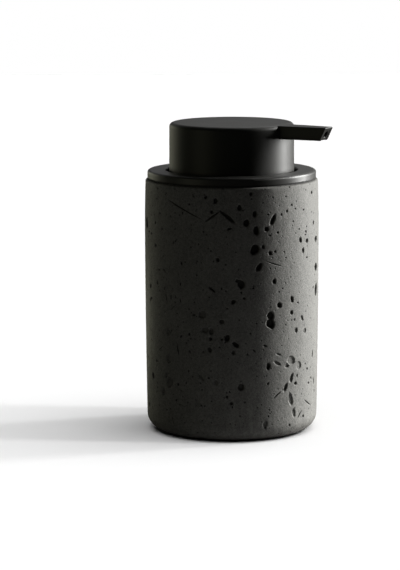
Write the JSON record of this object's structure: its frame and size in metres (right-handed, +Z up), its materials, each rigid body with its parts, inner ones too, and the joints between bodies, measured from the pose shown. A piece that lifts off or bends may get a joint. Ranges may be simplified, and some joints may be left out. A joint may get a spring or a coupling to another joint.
{
  "type": "soap pump dispenser",
  "caption": "Round cast-stone soap dispenser with a flat collar and a wide drum-shaped push-down pump head that carries a slim side spout.",
  "frame": {"origin": "centre of the foot pad's underside, on the axis of the vessel", "axes": "+Z up along the vessel's axis, +X along the spout as stored"},
  "size_m": [0.0905, 0.08, 0.1422],
  "materials": {
    "cast_stone": "matte, fine grain, scattered open pits",
    "black_plastic": "satin",
    "nozzle_plastic": "satin",
    "foot_rubber": "matte",
    "seal_rubber": "matte silicone",
    "inner_plastic": "moulded",
    "barrel_plastic": "milky, moulded",
    "tube_plastic": "milky, extruded",
    "piston_plastic": "waxy, moulded",
    "spring_steel": "drawn wire",
    "ball_steel": "polished"
  },
  "bodies": {
    "container": {"vessel": "cast_stone", "base_pad": "foot_rubber"},
    "lid": {"collar": "black_plastic", "rim_gasket": "seal_rubber", "mouth_seal": "seal_rubber", "closure_nut": "inner_plastic", "barrel_gasket": "seal_rubber", "pump_barrel": "barrel_plastic", "valve_cage": "inner_plastic", "dip_tube": "tube_plastic", "stem_guide": "inner_plastic", "stem_seal": "seal_rubber", "return_spring": "spring_steel"},
    "plunger": {"piston": "piston_plastic"},
    "head": {"pump_head": "black_plastic", "spout_nozzle": "nozzle_plastic", "stem": "inner_plastic", "piston_retainer": "inner_plastic"},
    "inlet_valve": {"inlet_ball": "ball_steel"},
    "outlet_valve": {"outlet_ball": "ball_steel"}
  },
  "joints": [
    {"name": "lid_lift", "type": "slide", "parent": "container", "child": "lid", "axis": [0, 0, 1], "range_m": [0, 0.11]},
    {"name": "pump_stroke", "type": "slide", "parent": "lid", "child": "plunger", "axis": [0, 0, -1], "range_m": [0, 0.013], "stiffness_N_per_m": 400, "springref_m": -0.015, "deforming": ["return_spring"]},
    {"name": "spout_turn", "type": "hinge", "parent": "plunger", "child": "head", "pos_m": [0, 0, 0.11], "axis": [0, 0, 1], "continuous": true},
    {"name": "inlet_ball_lift", "type": "slide", "parent": "lid", "child": "inlet_valve", "axis": [0, 0, 1], "range_m": [0, 0.002]},
    {"name": "outlet_ball_lift", "type": "slide", "parent": "head", "child": "outlet_valve", "axis": [0, 0, 1], "range_m": [0, 0.002]}
  ]
}
